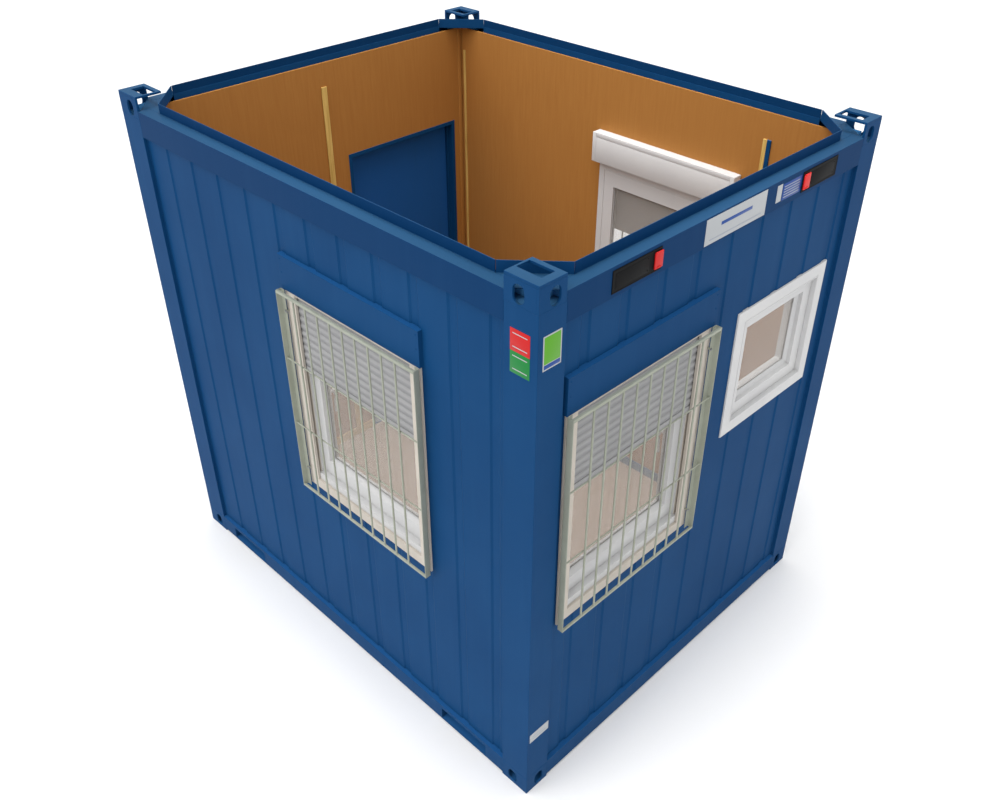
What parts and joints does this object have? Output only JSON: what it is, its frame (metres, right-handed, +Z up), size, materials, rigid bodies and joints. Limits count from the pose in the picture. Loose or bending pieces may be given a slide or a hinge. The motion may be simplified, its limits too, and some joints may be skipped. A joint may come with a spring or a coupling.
{
  "type": "shipping container cabin",
  "caption": "Site cabin on a steel container frame, open at the top: grooved steel walls, barred shutter windows, a small wash-room window and a hinged entrance door.",
  "frame": {"origin": "bottom centre of the frame, on the ground between the four foot castings", "axes": "+Z up, +Y towards the end with the entrance door, -Y towards the end with two windows, +X across the cabin"},
  "size_m": [2.505, 3.059, 2.96],
  "materials": {
    "blue_paint": "satin",
    "lining_board": "satin",
    "pale_wood": "satin",
    "white_plastic": "satin",
    "clear_glass": "clear",
    "cream_plastic": "matte",
    "grey_plastic": "matte",
    "beige_paint": "matte",
    "black_plastic": "matte",
    "bare_steel": "brushed",
    "zinc_sheet": "matte",
    "floor_covering": "satin"
  },
  "bodies": {
    "cabin": {"bottom_castings": "blue_paint", "top_castings": "blue_paint", "top_casting_ends": "blue_paint", "top_casting_sides": "blue_paint", "corner_posts": "blue_paint", "left_base_rail": "blue_paint", "right_base_rail": "blue_paint", "end_base_rails": "blue_paint", "fork_pockets": "blue_paint", "cross_members": "blue_paint", "underfloor_sheet": "zinc_sheet", "floor_deck": "floor_covering", "side_top_rails": "blue_paint", "end_top_rails": "blue_paint", "top_corner_plates": "blue_paint", "ceiling_strips": "blue_paint", "left_cladding": "blue_paint", "right_cladding": "blue_paint", "window_end_cladding": "blue_paint", "door_end_cladding": "blue_paint", "over_door_cladding": "blue_paint", "wall_cores": "lining_board", "left_lining": "lining_board", "right_lining": "lining_board", "window_end_lining": "lining_board", "door_end_lining": "lining_board", "over_door_lining": "lining_board", "window_frames": "white_plastic", "window_sashes": "white_plastic", "window_panes": "clear_glass", "shutter_guides": "cream_plastic", "shutter_curtains": "grey_plastic", "shutter_boxes": "white_plastic", "shutter_covers": "blue_paint", "left_grille": "beige_paint", "right_grille": "beige_paint", "end_grille": "beige_paint", "wash_window_trim": "white_plastic", "wash_window_frame": "white_plastic", "wash_window_pane": "clear_glass", "door_frame": "blue_paint", "door_hinge_pins": "bare_steel", "wood_trims": "pale_wood", "blue_trims": "blue_paint", "socket_panels": "black_plastic"},
    "entrance_door": {"door_leaf": "blue_paint", "door_levers": "bare_steel"}
  },
  "joints": [
    {"name": "entrance_door_hinge", "type": "hinge", "parent": "cabin", "child": "entrance_door", "pos_m": [1.017, 1.5005, 1.2], "axis": [0, 0, -1], "range_deg": [0, 110]}
  ]
}
